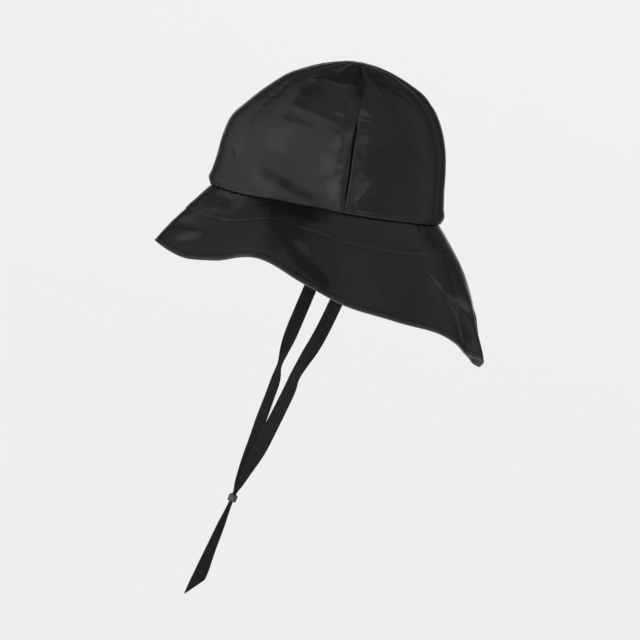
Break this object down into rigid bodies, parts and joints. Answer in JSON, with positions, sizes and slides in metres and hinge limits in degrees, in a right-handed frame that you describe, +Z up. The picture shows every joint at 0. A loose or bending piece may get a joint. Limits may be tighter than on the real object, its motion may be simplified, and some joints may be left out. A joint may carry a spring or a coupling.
{
  "type": "sou'wester hat",
  "caption": "Rain hat with a domed crown of sewn gores, a drooping brim that runs long at the back, and a tape chin strap gathered by a bead.",
  "frame": {"origin": "middle of the head opening, in the plane of the seam between crown and brim", "axes": "+Z up through the crown, -Y to the front of the hat, +X to the wearer's left"},
  "size_m": [0.2553, 0.295, 0.4788],
  "materials": {
    "coated_cloth": "satin",
    "strap_tape": "matte",
    "bead_plastic": "gloss"
  },
  "bodies": {
    "root": {"crown_gore_front": "coated_cloth", "crown_gore_left_front": "coated_cloth", "crown_gore_left_back": "coated_cloth", "crown_gore_back": "coated_cloth", "crown_gore_right_back": "coated_cloth", "crown_gore_right_front": "coated_cloth", "brim_upper": "coated_cloth", "brim_lower": "coated_cloth", "chin_strap": "strap_tape", "strap_bead": "bead_plastic"}
  },
  "joints": []
}
